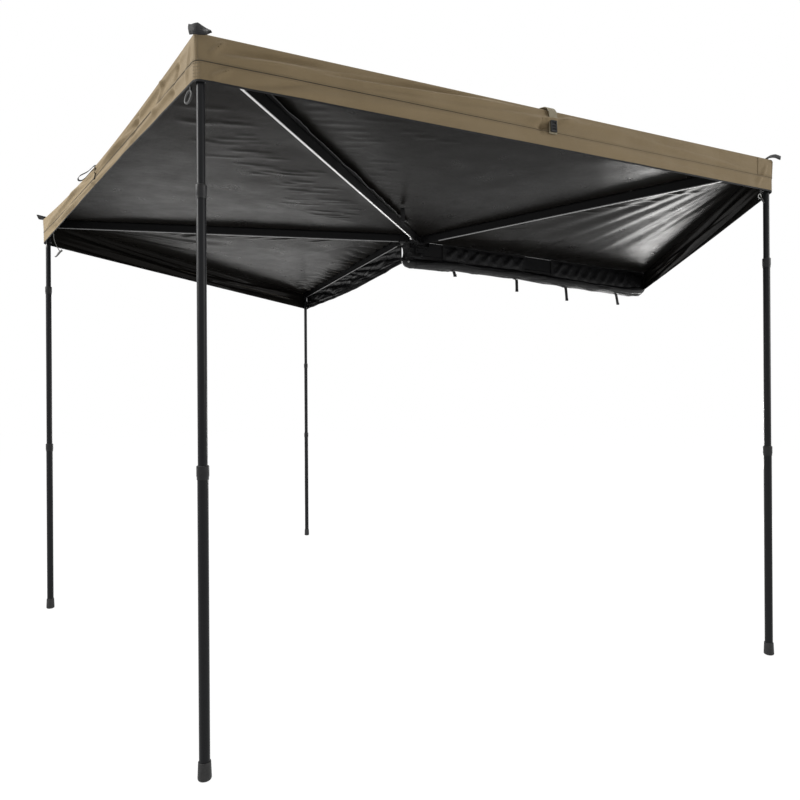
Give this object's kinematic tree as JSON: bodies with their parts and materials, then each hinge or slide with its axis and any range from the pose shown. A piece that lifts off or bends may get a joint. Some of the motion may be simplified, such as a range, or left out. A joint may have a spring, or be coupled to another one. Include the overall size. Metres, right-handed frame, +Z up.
{
  "type": "vehicle side awning",
  "caption": "Free-standing wrap-round vehicle side awning with folding arms, telescopic legs, a fabric roof with a valance and a backplate with its travel bag.",
  "frame": {"origin": "middle of the open awning's box, at the ground", "axes": "+X along the backplate, away from the hub; +Y towards the vehicle; +Z up"},
  "size_m": [4.1319, 3.6959, 2.1903],
  "materials": {
    "black_aluminium": "satin black anodised",
    "cast_black": "cast, black powder coat",
    "steel": "bright zinc plated",
    "lock_plastic": "satin moulded",
    "foot_rubber": "matte moulded",
    "roof_cloth": "khaki woven canvas above, black coated below",
    "khaki_cloth": "khaki woven canvas outside, black inside",
    "black_cloth": "black coated cloth",
    "webbing": "woven webbing with a black buckle"
  },
  "bodies": {
    "backplate_unit": {"backplate": "black_aluminium", "hub_bracket": "cast_black", "travel_bag": "black_cloth", "vehicle_bracket_1": "steel", "vehicle_bracket_2": "steel", "vehicle_bracket_3": "steel", "hub_pin_d": "steel"},
    "arm_d": {"arm_d_rail": "black_aluminium", "arm_d_knuckle": "cast_black", "arm_d_tip": "cast_black", "roof_panel_d": "roof_cloth", "valance_d": "khaki_cloth", "hub_pin_a": "steel", "corner_hook_d": "steel"},
    "arm_a": {"arm_a_rail": "black_aluminium", "arm_a_knuckle": "cast_black", "arm_a_tip": "cast_black", "roof_panel_a": "roof_cloth", "valance_a": "khaki_cloth", "hub_pin_b": "steel", "corner_hook_a": "steel", "edge_strap_a": "webbing"},
    "arm_b": {"arm_b_rail": "black_aluminium", "arm_b_knuckle": "cast_black", "arm_b_tip": "cast_black", "roof_panel_b": "roof_cloth", "valance_b": "khaki_cloth", "hub_pin_c": "steel", "corner_hook_b": "steel", "edge_strap_b": "webbing"},
    "arm_c": {"arm_c_rail": "black_aluminium", "arm_c_knuckle": "cast_black", "arm_c_tip": "cast_black", "roof_panel_c": "roof_cloth", "valance_c": "khaki_cloth", "side_curtain": "black_cloth"},
    "leg_d_upper": {"leg_d_upper_tube": "black_aluminium"},
    "leg_d_middle": {"leg_d_middle_tube": "black_aluminium"},
    "leg_d_upper_lock": {"leg_d_upper_lock": "lock_plastic"},
    "leg_d_lower": {"leg_d_lower_tube": "black_aluminium", "leg_d_foot": "foot_rubber"},
    "leg_d_lower_lock": {"leg_d_lower_lock": "lock_plastic"},
    "leg_a_upper": {"leg_a_upper_tube": "black_aluminium"},
    "leg_a_middle": {"leg_a_middle_tube": "black_aluminium"},
    "leg_a_upper_lock": {"leg_a_upper_lock": "lock_plastic"},
    "leg_a_lower": {"leg_a_lower_tube": "black_aluminium", "leg_a_foot": "foot_rubber"},
    "leg_a_lower_lock": {"leg_a_lower_lock": "lock_plastic"},
    "leg_b_upper": {"leg_b_upper_tube": "black_aluminium"},
    "leg_b_middle": {"leg_b_middle_tube": "black_aluminium"},
    "leg_b_upper_lock": {"leg_b_upper_lock": "lock_plastic"},
    "leg_b_lower": {"leg_b_lower_tube": "black_aluminium", "leg_b_foot": "foot_rubber"},
    "leg_b_lower_lock": {"leg_b_lower_lock": "lock_plastic"},
    "leg_c_upper": {"leg_c_upper_tube": "black_aluminium"},
    "leg_c_middle": {"leg_c_middle_tube": "black_aluminium"},
    "leg_c_upper_lock": {"leg_c_upper_lock": "lock_plastic"},
    "leg_c_lower": {"leg_c_lower_tube": "black_aluminium", "leg_c_foot": "foot_rubber"},
    "leg_c_lower_lock": {"leg_c_lower_lock": "lock_plastic"}
  },
  "joints": [
    {"name": "fold_d", "type": "hinge", "parent": "backplate_unit", "child": "arm_d", "pos_m": [0.0013, -0.13132, 2.1407], "axis": [0, 0, 1], "range_deg": [0, 63.3], "deforming": ["roof_panel_d", "valance_d"]},
    {"name": "fold_a", "type": "hinge", "parent": "arm_d", "child": "arm_a", "pos_m": [-0.02631, -0.17879, 2.1407], "axis": [0, 0, 1], "range_deg": [0, 72.7], "deforming": ["roof_panel_a", "valance_a", "edge_strap_a"]},
    {"name": "fold_b", "type": "hinge", "parent": "arm_a", "child": "arm_b", "pos_m": [-0.07985, -0.16654, 2.1407], "axis": [0, 0, 1], "range_deg": [0, 61.6], "deforming": ["roof_panel_b", "valance_b", "edge_strap_b"]},
    {"name": "fold_c", "type": "hinge", "parent": "arm_b", "child": "arm_c", "pos_m": [-0.09454, -0.11362, 2.1407], "axis": [0, 0, 1], "range_deg": [0, 72.4], "deforming": ["roof_panel_c", "valance_c", "side_curtain"]},
    {"name": "leg_d_fold", "type": "hinge", "parent": "arm_d", "child": "leg_d_upper", "pos_m": [0.85141, -1.82157, 2.1], "axis": [0.8934, 0.4493, 0], "range_deg": [0, 90]},
    {"name": "leg_d_middle_slide", "type": "slide", "parent": "leg_d_upper", "child": "leg_d_middle", "axis": [0, 0, 1], "range_m": [0, 0.294]},
    {"name": "leg_d_upper_lock_twist", "type": "hinge", "parent": "leg_d_middle", "child": "leg_d_upper_lock", "pos_m": [0.85141, -1.82157, 2.1], "axis": [0, 0, 1], "range_deg": [0, 90]},
    {"name": "leg_d_lower_slide", "type": "slide", "parent": "leg_d_middle", "child": "leg_d_lower", "axis": [0, 0, 1], "range_m": [0, 0.789]},
    {"name": "leg_d_lower_lock_twist", "type": "hinge", "parent": "leg_d_lower", "child": "leg_d_lower_lock", "pos_m": [0.85141, -1.82157, 2.1], "axis": [0, 0, 1], "range_deg": [0, 90]},
    {"name": "leg_a_fold", "type": "hinge", "parent": "arm_a", "child": "leg_a_upper", "pos_m": [-1.53837, -1.63896, 2.1], "axis": [0.6947, -0.7193, 0], "range_deg": [0, 90]},
    {"name": "leg_a_middle_slide", "type": "slide", "parent": "leg_a_upper", "child": "leg_a_middle", "axis": [0, 0, 1], "range_m": [0, 0.301]},
    {"name": "leg_a_upper_lock_twist", "type": "hinge", "parent": "leg_a_middle", "child": "leg_a_upper_lock", "pos_m": [-1.53837, -1.63896, 2.1], "axis": [0, 0, 1], "range_deg": [0, 90]},
    {"name": "leg_a_lower_slide", "type": "slide", "parent": "leg_a_middle", "child": "leg_a_lower", "axis": [0, 0, 1], "range_m": [0, 0.782]},
    {"name": "leg_a_lower_lock_twist", "type": "hinge", "parent": "leg_a_lower", "child": "leg_a_lower_lock", "pos_m": [-1.53837, -1.63896, 2.1], "axis": [0, 0, 1], "range_deg": [0, 90]},
    {"name": "leg_b_fold", "type": "hinge", "parent": "arm_b", "child": "leg_b_upper", "pos_m": [-2.04056, 0.45544, 2.1], "axis": [-0.3024, -0.9532, 0], "range_deg": [0, 90]},
    {"name": "leg_b_middle_slide", "type": "slide", "parent": "leg_b_upper", "child": "leg_b_middle", "axis": [0, 0, 1], "range_m": [0, 0.244]},
    {"name": "leg_b_upper_lock_twist", "type": "hinge", "parent": "leg_b_middle", "child": "leg_b_upper_lock", "pos_m": [-2.04056, 0.45544, 2.1], "axis": [0, 0, 1], "range_deg": [0, 90]},
    {"name": "leg_b_lower_slide", "type": "slide", "parent": "leg_b_middle", "child": "leg_b_lower", "axis": [0, 0, 1], "range_m": [0, 0.839]},
    {"name": "leg_b_lower_lock_twist", "type": "hinge", "parent": "leg_b_lower", "child": "leg_b_lower_lock", "pos_m": [-2.04056, 0.45544, 2.1], "axis": [0, 0, 1], "range_deg": [0, 90]},
    {"name": "leg_c_fold", "type": "hinge", "parent": "arm_c", "child": "leg_c_upper", "pos_m": [-0.09454, 1.80738, 2.1], "axis": [-1, 0, 0], "range_deg": [0, 90]},
    {"name": "leg_c_middle_slide", "type": "slide", "parent": "leg_c_upper", "child": "leg_c_middle", "axis": [0, 0, 1], "range_m": [0, 0.504]},
    {"name": "leg_c_upper_lock_twist", "type": "hinge", "parent": "leg_c_middle", "child": "leg_c_upper_lock", "pos_m": [-0.09454, 1.80738, 2.1], "axis": [0, 0, 1], "range_deg": [0, 90]},
    {"name": "leg_c_lower_slide", "type": "slide", "parent": "leg_c_middle", "child": "leg_c_lower", "axis": [0, 0, 1], "range_m": [0, 0.579]},
    {"name": "leg_c_lower_lock_twist", "type": "hinge", "parent": "leg_c_lower", "child": "leg_c_lower_lock", "pos_m": [-0.09454, 1.80738, 2.1], "axis": [0, 0, 1], "range_deg": [0, 90]}
  ]
}
